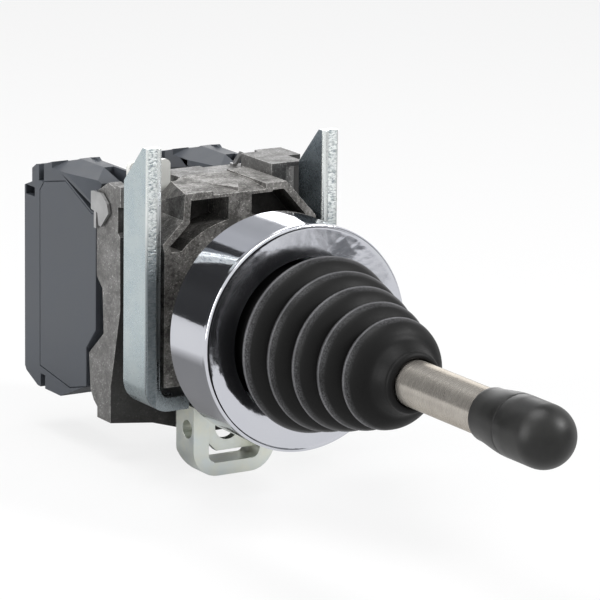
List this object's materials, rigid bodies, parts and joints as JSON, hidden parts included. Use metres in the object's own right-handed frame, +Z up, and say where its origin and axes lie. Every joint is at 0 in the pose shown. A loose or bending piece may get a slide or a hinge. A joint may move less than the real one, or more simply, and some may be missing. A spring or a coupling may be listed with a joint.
{
  "type": "industrial joystick",
  "caption": "Panel joystick switch with a sprung side-to-side lever, rubber bellows boot, chromed bezel, rear clamping collar with a steel fork, and a contact block for each direction.",
  "frame": {"origin": "centre of the panel hole on the panel's front face, which is the seal's rear face", "axes": "+Y points from the panel to its rear along the neck, so the lever points along -Y; +X is to the right seen from the front; +Z is up"},
  "size_m": [0.04, 0.1467, 0.06],
  "materials": {
    "chrome": "polished chrome plating",
    "black_rubber": "matte black rubber",
    "cast_metal": "raw die cast zinc alloy",
    "plated_steel": "bright zinc plating",
    "bright_steel": "bright steel",
    "brushed_rod": "brushed round bar",
    "natural_nylon": "natural white nylon",
    "black_plastic": "satin black moulding",
    "slate_plastic": "slate grey moulding",
    "contact_brass": "brass strip"
  },
  "bodies": {
    "head": {"bezel": "chrome", "panel_seal": "black_rubber", "neck_barrel": "cast_metal", "boot": "black_rubber", "boot_ring": "plated_steel", "pivot_pin": "bright_steel", "pivot_bushes": "natural_nylon", "guide_plate": "natural_nylon", "snap_ring": "bright_steel", "fixing_collar": "cast_metal", "locking_fork": "plated_steel", "loop_bracket": "plated_steel", "contact_carrier": "cast_metal", "carrier_screws": "plated_steel", "latch_spring_left": "bright_steel", "latch_spring_right": "bright_steel", "block_housing_left": "slate_plastic", "block_housing_right": "slate_plastic", "block_cover_left": "slate_plastic", "block_cover_right": "slate_plastic", "fixed_contacts_left": "contact_brass", "fixed_contacts_right": "contact_brass", "terminal_clamps_left": "plated_steel", "terminal_clamps_right": "plated_steel", "terminal_screws_left": "plated_steel", "terminal_screws_right": "plated_steel", "plunger_spring_left": "bright_steel", "plunger_spring_right": "bright_steel"},
    "lever": {"lever_rod": "brushed_rod", "knob": "black_plastic", "lever_hub": "bright_steel", "rocker_arm": "bright_steel"},
    "slider_left": {"pusher_left": "natural_nylon", "plunger_left": "natural_nylon", "bridge_contact_left": "contact_brass"},
    "slider_right": {"pusher_right": "natural_nylon", "plunger_right": "natural_nylon", "bridge_contact_right": "contact_brass"}
  },
  "joints": [
    {"name": "lever_tilt", "type": "hinge", "parent": "head", "child": "lever", "pos_m": [0, 0.008, 0], "axis": [0, 0, 1], "range_deg": [-16, 16], "stiffness_Nm_per_rad": 0.6, "deforming": ["boot"]},
    {"name": "left_push", "type": "slide", "parent": "head", "child": "slider_left", "axis": [0, 1, 0], "range_m": [-0.002, 0.002], "deforming": ["plunger_spring_left"]},
    {"name": "right_push", "type": "slide", "parent": "head", "child": "slider_right", "axis": [0, 1, 0], "range_m": [-0.002, 0.002], "deforming": ["plunger_spring_right"]}
  ],
  "couplings": [
    {"joint": "left_push", "follows": "lever_tilt", "m_per_rad": -0.007},
    {"joint": "right_push", "follows": "lever_tilt", "m_per_rad": 0.007}
  ]
}
